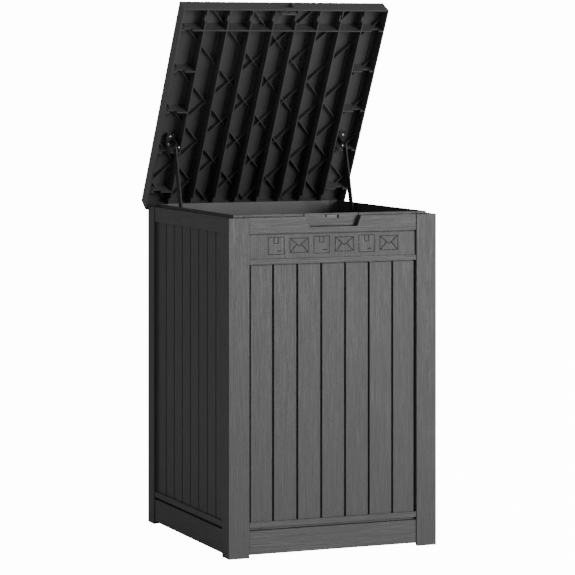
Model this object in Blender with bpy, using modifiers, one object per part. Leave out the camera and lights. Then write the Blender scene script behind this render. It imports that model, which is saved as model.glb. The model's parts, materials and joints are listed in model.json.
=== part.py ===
"""Parcel drop box: a free-standing resin delivery box with a rear-hinged lid.

Metres, +Z up, +X to the box's right and +Y to its back.  The box is modelled from its front face,
y = 0, and the whole assembly hangs from one empty that centres it on the floor.  The lid stands
open on its two slotted stays, which is how the box rests.
"""
import bpy
import bmesh
from math import cos, pi, radians, sin
from mathutils import Matrix, Vector

# ------------------------------------------------------------------ driving dimensions (metres)
BOX_WIDTH = 0.440               # over the corner posts
BOX_DEPTH = 0.470
LEDGE_HEIGHT = 0.656            # floor to the post and rail tops, where the lid rests
FIT_GAP = 0.0003                # between pieces that touch

WALL_DEPTH = 0.019              # outer post face to the inner wall face
LIP_THICKNESS = 0.004
LIP_HEIGHT = 0.005              # upstand above the ledge

POST_FACE_WIDTH = 0.043         # on the front and back
POST_SIDE_WIDTH = 0.038         # on the two sides
PANEL_LAP = 0.006               # a post's edge over a panel's edge
POST_TOP_CHAMFER = 0.0025       # lets the lid's back edge swing past

BOARD_INSET = 0.005             # board faces behind the post faces
RAIL_INSET = 0.0015             # rail faces behind the post faces
FRONT_BOARDS = 7
SIDE_BOARD_PITCH = 0.0479
SIDE_FIRST_BOARD = 0.0451       # width of the board next to the front post
LAST_BOARD_LEAST = 0.008        # narrowest board by the back post
GROOVE_WIDTH = 0.004
GROOVE_DEPTH = 0.006
RAIL_LINE = 0.0022              # fine groove under the top rail and the plaque rail

SKIRT_CLEARANCE = 0.006         # skirt bottom above the floor
DECK_HEIGHT = 0.0523            # top of the base tray
DECK_THICKNESS = 0.006
SKIRT_INSET = 0.002
TRAY_WALL = 0.0063              # inside the walls' line
SHADOW_GAP = 0.005              # between the tray and the lower rails
SHADOW_GAP_DEPTH = 0.009
LOWER_RAIL_HEIGHT = 0.011
TOP_RAIL_HEIGHT = 0.0315
SIDE_RAIL_HEIGHT = 0.030
PLAQUE_HEIGHT = 0.049
PLAQUE_RAIL_HEIGHT = 0.010

RECESS_TOP_WIDTH = 0.120        # finger recess in the front top rail
RECESS_BOTTOM_WIDTH = 0.1005
RECESS_HEIGHT = 0.0206
RECESS_LINE = 0.0016            # fine groove round the foot of the recess wall
RECESS_LINE_DEPTH = 0.002
WINDOW_WIDTH = 0.032            # lock window in the recess wall
WINDOW_HEIGHT = 0.0071
WINDOW_BOTTOM = -0.0051         # from the ledge
KEEPER_BAR_WIDTH = 0.020
KEEPER_BAR_HEIGHT = 0.0045
KEEPER_PLATE = (0.044, 0.002, 0.014)

LID_SIDE_OVERHANG = 0.005
LID_FRONT_OVERHANG = 0.0045
LID_BACK_OVERHANG = 0.0015
LID_HEIGHT = 0.0334
LID_WALL = 0.003
LID_DRAFT = 0.001
LID_CELLS = 9
RIB_THICKNESS = 0.0025
RIB_NOTCH_HEIGHT = 0.0082       # clears the box's lip
FRONT_NOTCH_MARGIN = (0.0025, 0.0075)   # beyond the lip's outer and inner face
SIDE_NOTCH_MARGIN = (0.008, 0.004)
BACK_NOTCH_MARGIN = 0.004
CROSS_RIB_FROM_FRONT = 0.050
END_RIBS_BY_STAY = (0.0184, 0.1144)     # behind each stay bracket
LAST_FRONT_END_RIB = 0.0776             # in front of each stay bracket
FRONT_END_RIBS = 3
LID_GROOVE_WIDTH = 0.003
LID_GROOVE_DEPTH = 0.0015
PULL_WIDTH = 0.032              # opening in the lid's front skirt
PULL_BOTTOM = 0.0097            # above the lid's rim
PULL_BELOW_CEILING = 0.0004

OPEN_ANGLE = radians(60.4)
HINGE_FROM_BACK = 0.005
HINGE_BELOW_LEDGE = 0.004
HINGE_FROM_SIDE = 0.090         # middle of each hinge
KNUCKLE_RADIUS = 0.004
KNUCKLE_WIDTH = 0.024
KNUCKLE_GAP = 0.001
FIXED_KNUCKLE_WIDTH = 0.013
PIN_POCKET_WIDTH = 0.016
HINGE_PIN_RADIUS = 0.002
PIN_CLEARANCE = 0.0003          # round a pin in its bore
HINGE_PIN_LENGTH = 0.060
NECK_HEIGHT = 0.010

STAY_LENGTH = 0.150             # arm pivot to slider pin, and hinge to arm pivot
STAY_PIVOT_DROP = radians(2)    # below the hinge's level when the lid is shut
TRACK_SLOPE = radians(8)        # the slot's line runs through the hinge axis
TRACK_THICKNESS = 0.008
TRACK_HALF_HEIGHT = 0.011
TRACK_END = 0.014               # screw centre beyond the slider's end position
SLIDER_RADIUS = 0.004
SLIDER_CLEARANCE = 0.0004
ARM_THICKNESS = 0.003
ARM_RADIUS = 0.008
ARM_GAP = 0.0013                # arm to track, and arm to bracket
PIVOT_RADIUS = 0.003
PIVOT_HEAD_RADIUS = 0.005
PIVOT_HEAD_HEIGHT = 0.0015
BRACKET_THICKNESS = 0.003
BRACKET_BOSS_RADIUS = 0.006
BRACKET_FOOT = (0.014, 0.030)   # across and along the lid
BRACKET_BOSS_HEIGHT = 0.008

SCREW_RADIUS = 0.0016
SCREW_CLEARANCE = 0.0004        # round a screw in its hole
SCREW_HEAD_RADIUS = 0.0035
SCREW_HEAD_HEIGHT = 0.0022
SCREW_REACH = 0.006             # depth of a screw in the piece it holds to

TAB_WIDTH = 0.034
TAB_THICKNESS = 0.003
TAB_BELOW_RIM = 0.0108
TAB_BELOW_PULL = 0.0005
TAB_HOLE_RADIUS = 0.004
TAB_SCREW_OFFSET = 0.012

# ------------------------------------------------------------------ places worked out from them
HALF = BOX_WIDTH / 2
LIP_TOP = LEDGE_HEIGHT + LIP_HEIGHT
LIP_OUTER = WALL_DEPTH - LIP_THICKNESS  # the lip's outer face, behind the post faces
INNER_HALF = HALF - WALL_DEPTH
POST_SKIN = BOARD_INSET - FIT_GAP       # the part of a post that laps over a panel's edge
PANEL_BOTTOM = DECK_HEIGHT + FIT_GAP
RAIL_BOTTOM = DECK_HEIGHT + SHADOW_GAP + FIT_GAP
HINGE = Vector((0, BOX_DEPTH - HINGE_FROM_BACK, LEDGE_HEIGHT - HINGE_BELOW_LEDGE))
HINGE_OFFSET = HALF - HINGE_FROM_SIDE
HINGE_BORE_RADIUS = HINGE_PIN_RADIUS + PIN_CLEARANCE
SCREW_HOLE_RADIUS = SCREW_RADIUS + SCREW_CLEARANCE

LID_HALF = HALF + LID_SIDE_OVERHANG
LID_FRONT = -LID_FRONT_OVERHANG
LID_BACK = BOX_DEPTH + LID_BACK_OVERHANG
LID_RIM = LEDGE_HEIGHT + FIT_GAP
LID_TOP = LID_RIM + LID_HEIGHT
LID_CEILING = LID_TOP - LID_WALL
CELL_PITCH = 2 * (LID_HALF - LID_WALL) / LID_CELLS
FIRST_RIB = (LID_CELLS / 2 - 1) * CELL_PITCH
NOTCH_TOP = LID_RIM + RIB_NOTCH_HEIGHT
PULL_HEIGHT = LID_HEIGHT - LID_WALL - PULL_BOTTOM - PULL_BELOW_CEILING


def turned(point, angle):
    """A (y, z) pair turned about the X axis."""
    y, z = point
    return Vector((0, y * cos(angle) - z * sin(angle), y * sin(angle) + z * cos(angle)))


# The lid's back bottom and back top corners reach furthest behind the box when the lid is open.
LID_REACH = max(
    (HINGE + turned((LID_BACK - HINGE.y - draft, z - HINGE.z), -OPEN_ANGLE)).y
    for z, draft in ((LID_RIM, 0), (LID_TOP, LID_DRAFT)))
FRONT_Y = -LID_REACH / 2        # the footprint, open lid included, is centred on the origin

# ------------------------------------------------------------------ scene, collections, finishes
for old in list(bpy.data.objects):
    bpy.data.objects.remove(old, do_unlink=True)

parts = bpy.data.collections.new("parcel_drop_box")
cutters = bpy.data.collections.new("cutters")
for collection in (parts, cutters):
    bpy.context.scene.collection.children.link(collection)


def finish(name, colour, roughness, metallic=0.0):
    material = bpy.data.materials.new(name)
    material.use_nodes = True
    shader = material.node_tree.nodes["Principled BSDF"]
    shader.inputs["Base Color"].default_value = (*colour, 1)
    shader.inputs["Roughness"].default_value = roughness
    shader.inputs["Metallic"].default_value = metallic
    return material


RESIN = finish("dark_grey_resin", (0.060, 0.060, 0.062), 0.55)
NYLON = finish("black_nylon", (0.020, 0.020, 0.022), 0.45)
STEEL = finish("zinc_plated_steel", (0.62, 0.62, 0.60), 0.35, 1.0)

root = bpy.data.objects.new("box_origin", None)
root.location = (0, FRONT_Y, 0)
parts.objects.link(root)

lid_axis = bpy.data.objects.new("lid_axis", None)
lid_axis.location = HINGE
lid_axis.rotation_euler.x = -OPEN_ANGLE
lid_axis.parent = root
parts.objects.link(lid_axis)


# ------------------------------------------------------------------ shape helpers
def solid(name, mesh, collection=cutters):
    piece = bpy.data.objects.new(name, mesh)
    collection.objects.link(piece)
    if collection is cutters:
        piece.hide_render = True
        piece.display_type = "WIRE"
    return piece


def box(name, low, high, collection=cutters):
    """An axis-aligned block between two corners."""
    bm = bmesh.new()
    low, high = Vector(low), Vector(high)
    size = Matrix.Diagonal((*(high - low), 1))
    bmesh.ops.create_cube(bm, size=1, matrix=Matrix.Translation((low + high) / 2) @ size)
    mesh = bpy.data.meshes.new(name)
    bm.to_mesh(mesh)
    bm.free()
    return solid(name, mesh, collection)


def rod(name, centre, radius, length, axis="X", sides=16, collection=cutters):
    """A round bar whose middle is at centre."""
    turn = {"X": Matrix.Rotation(pi / 2, 4, "Y"), "Y": Matrix.Rotation(pi / 2, 4, "X"),
            "Z": Matrix.Identity(4)}[axis]
    bm = bmesh.new()
    bmesh.ops.create_cone(bm, cap_ends=True, segments=sides, radius1=radius, radius2=radius,
                          depth=length, matrix=Matrix.Translation(centre) @ turn)
    mesh = bpy.data.meshes.new(name)
    bm.to_mesh(mesh)
    bm.free()
    mesh.shade_smooth()
    mesh.set_sharp_from_angle(angle=radians(40))
    return solid(name, mesh, collection)


def prism(name, outline, start, end, axis="Z", collection=cutters):
    """A flat outline extruded along an axis.

    The outline's points are (x, y) for axis Z, (x, z) for axis Y and (y, z) for axis X.
    """
    stand = {
        "Z": Matrix.Identity(4),
        "Y": Matrix(((1, 0, 0, 0), (0, 0, 1, 0), (0, 1, 0, 0), (0, 0, 0, 1))),
        "X": Matrix(((0, 0, 1, 0), (1, 0, 0, 0), (0, 1, 0, 0), (0, 0, 0, 1))),
    }[axis]
    bm = bmesh.new()
    base = bm.faces.new([bm.verts.new((*point, start)) for point in outline])
    swept = bmesh.ops.extrude_face_region(bm, geom=[base], use_keep_orig=True)["geom"]
    far_side = [item for item in swept if isinstance(item, bmesh.types.BMVert)]
    bmesh.ops.translate(bm, verts=far_side, vec=(0, 0, end - start))
    bm.transform(stand)
    bmesh.ops.recalc_face_normals(bm, faces=bm.faces)
    mesh = bpy.data.meshes.new(name)
    bm.to_mesh(mesh)
    bm.free()
    return solid(name, mesh, collection)


def stadium(first, last, radius, steps=8):
    """The outline round two points at one radius, as (y, z) pairs."""
    first, last = Vector(first), Vector(last)
    along = (last - first).normalized()
    across = Vector((-along.y, along.x))
    points = []
    for centre, facing in ((last, 1), (first, -1)):
        for step in range(steps + 1):
            turn = -pi / 2 + pi * step / steps
            points.append(centre + radius * facing * (along * cos(turn) + across * sin(turn)))
    return points


def combine(piece, others, operation):
    for other in others:
        boolean = piece.modifiers.new(other.name, "BOOLEAN")
        boolean.operation = operation
        boolean.solver = "EXACT"
        boolean.object = other
    return piece


def cut(piece, *others):
    return combine(piece, others, "DIFFERENCE")


def join(piece, *others):
    return combine(piece, others, "UNION")


def place(piece, parent, material):
    """Hang a piece from its empty and give it its finish."""
    piece.parent = parent
    if not piece.data.materials:
        piece.data.materials.append(material)
    return piece


def in_lid(piece):
    """Lid pieces are shaped shut, in the box's place, and turn about the hinge axis."""
    piece.data.transform(Matrix.Translation(-HINGE))
    return piece


def mirrored(outline):
    return [(-x, y) for x, y in reversed(outline)]


# ------------------------------------------------------------------ corner posts
def post_outline(clearance=0.0):
    """The front left post's L section, grown by a clearance where its neighbours meet it."""
    face = POST_FACE_WIDTH + clearance
    side = POST_SIDE_WIDTH + clearance
    skin = BOARD_INSET if clearance else POST_SKIN
    inner = WALL_DEPTH + clearance
    return [(0, 0), (face, 0), (face, skin), (face - PANEL_LAP, skin), (face - PANEL_LAP, inner),
            (inner, inner), (inner, side - PANEL_LAP), (skin, side - PANEL_LAP), (skin, side),
            (0, side)]


def corner_lip():
    face = POST_FACE_WIDTH - PANEL_LAP
    side = POST_SIDE_WIDTH - PANEL_LAP
    return [(LIP_OUTER, LIP_OUTER), (face, LIP_OUTER), (face, WALL_DEPTH),
            (WALL_DEPTH, WALL_DEPTH), (WALL_DEPTH, side), (LIP_OUTER, side)]


def at_corner(outline, right, back):
    """Carry an outline from the front left corner to another one."""
    placed = [((-1 if right else 1) * (x - HALF), BOX_DEPTH - y if back else y) for x, y in outline]
    return placed if right == back else placed[::-1]


for right in (False, True):
    for back in (False, True):
        name = "post_%s_%s" % ("back" if back else "front", "right" if right else "left")
        post = prism(name, at_corner(post_outline(), right, back), 0, LEDGE_HEIGHT,
                     collection=parts)
        join(post, prism(name + "_lip", at_corner(corner_lip(), right, back),
                         LEDGE_HEIGHT - LIP_HEIGHT, LIP_TOP))
        if back:
            reach = POST_TOP_CHAMFER
            corner = [(BOX_DEPTH - reach, LEDGE_HEIGHT + reach),
                      (BOX_DEPTH - reach, LEDGE_HEIGHT),
                      (BOX_DEPTH, LEDGE_HEIGHT - reach),
                      (BOX_DEPTH + reach, LEDGE_HEIGHT - reach),
                      (BOX_DEPTH + reach, LEDGE_HEIGHT + reach)]
            cut(post, prism(name + "_chamfer", corner, -HALF - reach, HALF + reach, axis="X"))
        place(post, root, RESIN)

# ------------------------------------------------------------------ base tray
def tray_corner(right, back):
    """The tray's edge round one post, cut back to the skirt faces."""
    side = HALF - SKIRT_INSET
    edge = at_corner(post_outline(FIT_GAP)[1:], right, back)
    return [(max(-side, min(side, x)), max(SKIRT_INSET, min(BOX_DEPTH - SKIRT_INSET, y)))
            for x, y in edge]


def ring(corners):
    """Join the corners' points into one outline, each run starting at its end nearest the last."""
    outline = list(corners[0])
    for run in corners[1:]:
        last = Vector(outline[-1])
        ahead = (Vector(run[0]) - last).length <= (Vector(run[-1]) - last).length
        outline += run if ahead else run[::-1]
    return outline


tray_outline = ring([tray_corner(False, False)[::-1], tray_corner(True, False),
                     tray_corner(True, True), tray_corner(False, True)])
base_tray = prism("base_tray", tray_outline, SKIRT_CLEARANCE, DECK_HEIGHT,
                  collection=parts)
skirt_inner = WALL_DEPTH + FIT_GAP + TRAY_WALL
cut(base_tray, box("base_tray_pocket", (skirt_inner - HALF, skirt_inner, 0),
                   (HALF - skirt_inner, BOX_DEPTH - skirt_inner, DECK_HEIGHT - DECK_THICKNESS)))
place(base_tray, root, RESIN)


# ------------------------------------------------------------------ wall panels
def panel_block(name, half_span, face, inner, low, high, collection=cutters):
    """A slab across a wall: half_span is along the wall, face and inner are its depths."""
    return box(name, (-half_span, face, low), (half_span, inner, high), collection)


def wall_panel(name, span, post_width, rails, grooves, board_low, board_high, rail_feet=()):
    """A wall modelled as a front wall: x along it about its middle, y inwards from the posts."""
    lapped = span / 2 - post_width + PANEL_LAP - FIT_GAP
    clear = span / 2 - post_width - FIT_GAP
    panel = panel_block(name, lapped, BOARD_INSET, WALL_DEPTH, PANEL_BOTTOM, LEDGE_HEIGHT, parts)
    additions = []
    for low, high in rails:
        additions.append(panel_block(name + "_rail", clear, RAIL_INSET, WALL_DEPTH / 2, low, high))
    additions.append(panel_block(name + "_lip", lapped, LIP_OUTER, WALL_DEPTH,
                                 LEDGE_HEIGHT - LIP_HEIGHT, LIP_TOP))
    join(panel, *additions)
    for x in grooves:
        cut(panel, box(name + "_groove", (x - GROOVE_WIDTH / 2, 0, board_low),
                       (x + GROOVE_WIDTH / 2, BOARD_INSET + GROOVE_DEPTH, board_high)))
    for foot in rail_feet:
        cut(panel, box(name + "_rail_line", (-clear, 0, foot - RAIL_LINE),
                       (clear, BOARD_INSET + GROOVE_DEPTH / 2, foot)))
    cut(panel, box(name + "_shadow_gap", (-span / 2, 0, 0),
                   (span / 2, SHADOW_GAP_DEPTH, RAIL_BOTTOM)))
    place(panel, root, RESIN)
    return panel


board_low = RAIL_BOTTOM + LOWER_RAIL_HEIGHT
top_rail_low = LEDGE_HEIGHT - TOP_RAIL_HEIGHT
plaque_low = top_rail_low - PLAQUE_HEIGHT
side_rail_low = LEDGE_HEIGHT - SIDE_RAIL_HEIGHT
lower_rail = (RAIL_BOTTOM, board_low)
face_span = BOX_WIDTH - 2 * POST_FACE_WIDTH
front_grooves = [face_span * (board / FRONT_BOARDS - 0.5) for board in range(1, FRONT_BOARDS)]
by_post = face_span / 2 - FIT_GAP - GROOVE_WIDTH / 2
front_grooves += [-by_post, by_post]
front_rails = [lower_rail, (plaque_low - PLAQUE_RAIL_HEIGHT, plaque_low),
               (top_rail_low, LEDGE_HEIGHT)]
plain_rails = [lower_rail, (side_rail_low, LEDGE_HEIGHT)]

front_panel = wall_panel("front_panel", BOX_WIDTH, POST_FACE_WIDTH, front_rails, front_grooves,
                         board_low, plaque_low - PLAQUE_RAIL_HEIGHT,
                         rail_feet=(plaque_low - PLAQUE_RAIL_HEIGHT, top_rail_low))
recess_bottom = LEDGE_HEIGHT - RECESS_HEIGHT
recess = [(-RECESS_BOTTOM_WIDTH / 2, recess_bottom), (RECESS_BOTTOM_WIDTH / 2, recess_bottom),
          (RECESS_TOP_WIDTH / 2, LIP_TOP), (-RECESS_TOP_WIDTH / 2, LIP_TOP)]
line_bottom = RECESS_BOTTOM_WIDTH / 2 - RECESS_LINE
line_top = RECESS_TOP_WIDTH / 2 - RECESS_LINE
line_low = recess_bottom + RECESS_LINE
recess_line = recess[:3] + [(line_top, LIP_TOP), (line_bottom, line_low),
                            (-line_bottom, line_low), (-line_top, LIP_TOP), recess[3]]
window_low = LEDGE_HEIGHT + WINDOW_BOTTOM
window_high = window_low + WINDOW_HEIGHT
cut(front_panel,
    prism("finger_recess", recess, -BOARD_INSET, LIP_OUTER, axis="Y"),
    prism("recess_line", recess_line, LIP_OUTER - BOARD_INSET, LIP_OUTER + RECESS_LINE_DEPTH,
          axis="Y"),
    box("lock_window", (-WINDOW_WIDTH / 2, 0, window_low),
        (WINDOW_WIDTH / 2, WALL_DEPTH + LIP_HEIGHT, window_high)))

back_panel = wall_panel("back_panel", BOX_WIDTH, POST_FACE_WIDTH, plain_rails, front_grooves,
                        board_low, side_rail_low)
back_panel.rotation_euler.z = pi
back_panel.location.y = BOX_DEPTH

side_start = POST_SIDE_WIDTH + SIDE_FIRST_BOARD - BOX_DEPTH / 2
side_stop = BOX_DEPTH / 2 - POST_SIDE_WIDTH - LAST_BOARD_LEAST
side_grooves = [side_start]
while side_grooves[-1] + SIDE_BOARD_PITCH < side_stop:
    side_grooves.append(side_grooves[-1] + SIDE_BOARD_PITCH)
for name, turn, flip in (("left_panel", -pi / 2, 1), ("right_panel", pi / 2, -1)):
    side = wall_panel(name, BOX_DEPTH, POST_SIDE_WIDTH, plain_rails,
                      [-flip * x for x in side_grooves], board_low, side_rail_low)
    side.rotation_euler.z = turn
    side.location = (-flip * HALF, BOX_DEPTH / 2, 0)

# ------------------------------------------------------------------ lock keeper
keeper_width, keeper_depth, keeper_height = KEEPER_PLATE
keeper_face = WALL_DEPTH + FIT_GAP
keeper_top = LIP_TOP - FIT_GAP
keeper = box("lock_keeper", (-keeper_width / 2, keeper_face, keeper_top - keeper_height),
             (keeper_width / 2, keeper_face + keeper_depth, keeper_top), parts)
bar_high = window_high - FIT_GAP
join(keeper, box("keeper_bar", (-KEEPER_BAR_WIDTH / 2, LIP_OUTER, bar_high - KEEPER_BAR_HEIGHT),
                 (KEEPER_BAR_WIDTH / 2, keeper_face + keeper_depth / 2, bar_high)))
place(keeper, root, RESIN)


# ------------------------------------------------------------------ lid
def lid_shell():
    """A shallow tray, mouth down, with a slight draft on its skirt."""
    bm = bmesh.new()
    size = (2 * LID_HALF, LID_BACK - LID_FRONT, LID_HEIGHT)
    middle = (0, (LID_FRONT + LID_BACK) / 2, LID_RIM + LID_HEIGHT / 2)
    bmesh.ops.create_cube(bm, size=1,
                          matrix=Matrix.Translation(middle) @ Matrix.Diagonal((*size, 1)))
    for vertex in bm.verts:
        if vertex.co.z > middle[2]:
            vertex.co.x -= LID_DRAFT if vertex.co.x > 0 else -LID_DRAFT
            vertex.co.y -= LID_DRAFT if vertex.co.y > middle[1] else -LID_DRAFT
    bmesh.ops.delete(bm, geom=[face for face in bm.faces if face.normal.z < -0.9],
                     context="FACES_ONLY")
    mesh = bpy.data.meshes.new("lid")
    bm.to_mesh(mesh)
    bm.free()
    shell = solid("lid", mesh, parts)
    wall = shell.modifiers.new("wall", "SOLIDIFY")
    wall.thickness = LID_WALL
    wall.offset = -1
    wall.use_even_offset = True
    return shell


def long_rib(x):
    """Front to back, with notches over the box's lip."""
    rear = BOX_DEPTH - WALL_DEPTH - BACK_NOTCH_MARGIN
    top = LID_CEILING + LID_WALL / 2
    front = LID_FRONT + LID_WALL / 2
    back = LID_BACK - LID_WALL / 2 - LID_DRAFT / 2
    start = LIP_OUTER - FRONT_NOTCH_MARGIN[0]
    stop = WALL_DEPTH + FRONT_NOTCH_MARGIN[1]
    outline = [(front, LID_RIM), (start, LID_RIM), (start, NOTCH_TOP), (stop, NOTCH_TOP),
               (stop, LID_RIM), (rear, LID_RIM), (rear, NOTCH_TOP), (back, NOTCH_TOP),
               (back, top), (front, top)]
    return in_lid(prism("long_rib", outline, x - RIB_THICKNESS / 2, x + RIB_THICKNESS / 2,
                        axis="X"))


def end_rib(y, side):
    """In an end column, from the side skirt to the first long rib."""
    edge = LID_HALF - LID_WALL / 2 - LID_DRAFT / 2
    start = INNER_HALF - SIDE_NOTCH_MARGIN[1]
    stop = HALF - LIP_OUTER + SIDE_NOTCH_MARGIN[0]
    top = LID_CEILING + LID_WALL / 2
    outline = [(FIRST_RIB, LID_RIM), (start, LID_RIM), (start, NOTCH_TOP), (stop, NOTCH_TOP),
               (stop, LID_RIM), (edge, LID_RIM), (edge, top), (FIRST_RIB, top)]
    if side < 0:
        outline = mirrored(outline)
    return in_lid(prism("end_rib", outline, y - RIB_THICKNESS / 2, y + RIB_THICKNESS / 2,
                        axis="Y"))


lid = in_lid(lid_shell())
rib_places = [FIRST_RIB - CELL_PITCH * rib for rib in range(LID_CELLS - 1)]
cross_y = LID_FRONT + CROSS_RIB_FROM_FRONT
pivot_shut = HINGE + turned((-STAY_LENGTH, 0), STAY_PIVOT_DROP)
front_end_pitch = (pivot_shut.y - LAST_FRONT_END_RIB - cross_y) / (FRONT_END_RIBS - 1)
end_places = [cross_y + front_end_pitch * rib for rib in range(FRONT_END_RIBS)]
end_places += [pivot_shut.y + reach for reach in END_RIBS_BY_STAY]
join(lid, *(long_rib(x) for x in rib_places))
join(lid, *(end_rib(y, side) for y in end_places for side in (-1, 1)))
join(lid, in_lid(box("cross_rib", (-FIRST_RIB, cross_y - RIB_THICKNESS / 2, LID_RIM),
                     (FIRST_RIB, cross_y + RIB_THICKNESS / 2, LID_CEILING + LID_WALL / 2))))

# Each hinge: a lid knuckle between two fixed knuckles that are left of the back rail.
pin_half = HINGE_PIN_LENGTH / 2
pocket_low = HINGE.z - KNUCKLE_RADIUS - KNUCKLE_GAP
pocket_front = HINGE.y - KNUCKLE_RADIUS - KNUCKLE_GAP
for side in (-1, 1):
    x = side * HINGE_OFFSET
    knuckle = in_lid(rod("lid_knuckle", Vector((x, 0, 0)) + HINGE, KNUCKLE_RADIUS, KNUCKLE_WIDTH))
    neck = in_lid(box("lid_neck",
                      (x - KNUCKLE_WIDTH / 2, HINGE.y - KNUCKLE_RADIUS / 2, HINGE.z),
                      (x + KNUCKLE_WIDTH / 2, LID_BACK - LID_WALL / 2 - LID_DRAFT,
                       LID_RIM + NECK_HEIGHT)))
    join(lid, knuckle, neck)
    bore = in_lid(rod("lid_bore", Vector((x, 0, 0)) + HINGE, HINGE_BORE_RADIUS,
                      HINGE_PIN_LENGTH))
    cut(lid, bore)

    # The back panel was shaped facing forwards, so its cutters are turned with it.
    half_turn = Matrix.Translation((0, BOX_DEPTH, 0)) @ Matrix.Rotation(pi, 4, "Z")
    middle_half = KNUCKLE_WIDTH / 2 + KNUCKLE_GAP
    outer = middle_half + FIXED_KNUCKLE_WIDTH
    spans = ((-middle_half, middle_half), (outer, outer + PIN_POCKET_WIDTH),
             (-outer - PIN_POCKET_WIDTH, -outer))
    for low, high in spans:
        pocket = box("hinge_pocket", (x + low, pocket_front, pocket_low),
                     (x + high, BOX_DEPTH + KNUCKLE_GAP, LIP_TOP))
        pocket.data.transform(half_turn)
        pocket.parent = root
        pocket.location = (0, BOX_DEPTH, 0)
        pocket.rotation_euler.z = pi
        cut(back_panel, pocket)
    bore = rod("rail_bore", Vector((x, 0, 0)) + HINGE, HINGE_BORE_RADIUS,
               2 * (outer + PIN_POCKET_WIDTH / 2))
    bore.parent = root
    cut(back_panel, bore)

    pin = rod("hinge_pin_" + ("left" if side < 0 else "right"), (0, 0, 0), HINGE_PIN_RADIUS,
              HINGE_PIN_LENGTH, sides=12, collection=parts)
    place(pin, root, STEEL)
    pin.location = Vector((x, 0, 0)) + HINGE

for x in rib_places:
    cut(lid, in_lid(box("lid_groove", (x - LID_GROOVE_WIDTH / 2, LID_FRONT - 0.01,
                                       LID_TOP - LID_GROOVE_DEPTH),
                        (x + LID_GROOVE_WIDTH / 2, LID_BACK + 0.01, LID_TOP + 0.01))))
cut(lid, in_lid(box("lid_pull", (-PULL_WIDTH / 2, LID_FRONT - 0.01, LID_RIM + PULL_BOTTOM),
                    (PULL_WIDTH / 2, LID_FRONT + LID_WALL + LID_DRAFT + 0.002,
                     LID_RIM + PULL_BOTTOM + PULL_HEIGHT))))
place(lid, lid_axis, RESIN)


# ------------------------------------------------------------------ screws
def main_axis(facing):
    return "XYZ"[max(range(3), key=lambda index: abs(facing[index]))]


def screw(name, head_face, facing, grip, parent, shaped_shut=False, reach=SCREW_REACH):
    """A pan-head screw: head_face is the middle of the clamped face, facing points into it."""
    facing = Vector(facing)
    axis = main_axis(facing)
    head_face = Vector(head_face)
    shank_end = grip + reach
    head_depth = SCREW_HEAD_HEIGHT
    piece = rod(name, head_face - facing * (head_depth / 2 + FIT_GAP), SCREW_HEAD_RADIUS,
                head_depth, axis, 12, parts)
    shank = rod(name + "_shank", head_face + facing * (shank_end - head_depth) / 2,
                SCREW_RADIUS, shank_end, axis, 10)
    if shaped_shut:
        in_lid(piece)
        in_lid(shank)
    shank.parent = parent
    join(piece, shank)
    return place(piece, parent, STEEL)


def screw_hole(head_face, facing, depth, shaped_shut=False):
    facing = Vector(facing)
    hole = rod("screw_hole", Vector(head_face) + facing * depth / 2, SCREW_HOLE_RADIUS,
               depth + 2 * FIT_GAP, main_axis(facing), 12)
    hole.parent = root
    if shaped_shut:
        in_lid(hole)
        hole.parent = lid_axis
    return hole


# ------------------------------------------------------------------ lid stays
def on_slope(distance):
    """A (y, z) place on the slot's line, at a distance from the hinge axis."""
    return (HINGE.y - distance * cos(TRACK_SLOPE), HINGE.z - distance * sin(TRACK_SLOPE))


def pin_distance(opening):
    """Hinge, arm pivot and slider are an isosceles triangle with two sides of STAY_LENGTH."""
    return 2 * STAY_LENGTH * cos(opening + TRACK_SLOPE - STAY_PIVOT_DROP)


slot_near = pin_distance(OPEN_ANGLE)
slot_far = pin_distance(0)
track_outer = INNER_HALF - FIT_GAP
track_inner = track_outer - TRACK_THICKNESS
arm_outer = track_inner - ARM_GAP
arm_inner = arm_outer - ARM_THICKNESS
bracket_outer = arm_inner - ARM_GAP
bracket_inner = bracket_outer - BRACKET_THICKNESS
slot_radius = SLIDER_RADIUS + SLIDER_CLEARANCE
pivot_open = HINGE + turned((-STAY_LENGTH, 0), STAY_PIVOT_DROP - OPEN_ANGLE)
arm_angle = pi + 2 * TRACK_SLOPE - STAY_PIVOT_DROP + OPEN_ANGLE

foot_across, foot_along = BRACKET_FOOT
foot_top = LID_CEILING - BRACKET_BOSS_HEIGHT - FIT_GAP
foot_low = foot_top - BRACKET_THICKNESS
boss_offset = foot_along / 2 - BRACKET_BOSS_RADIUS

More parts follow.
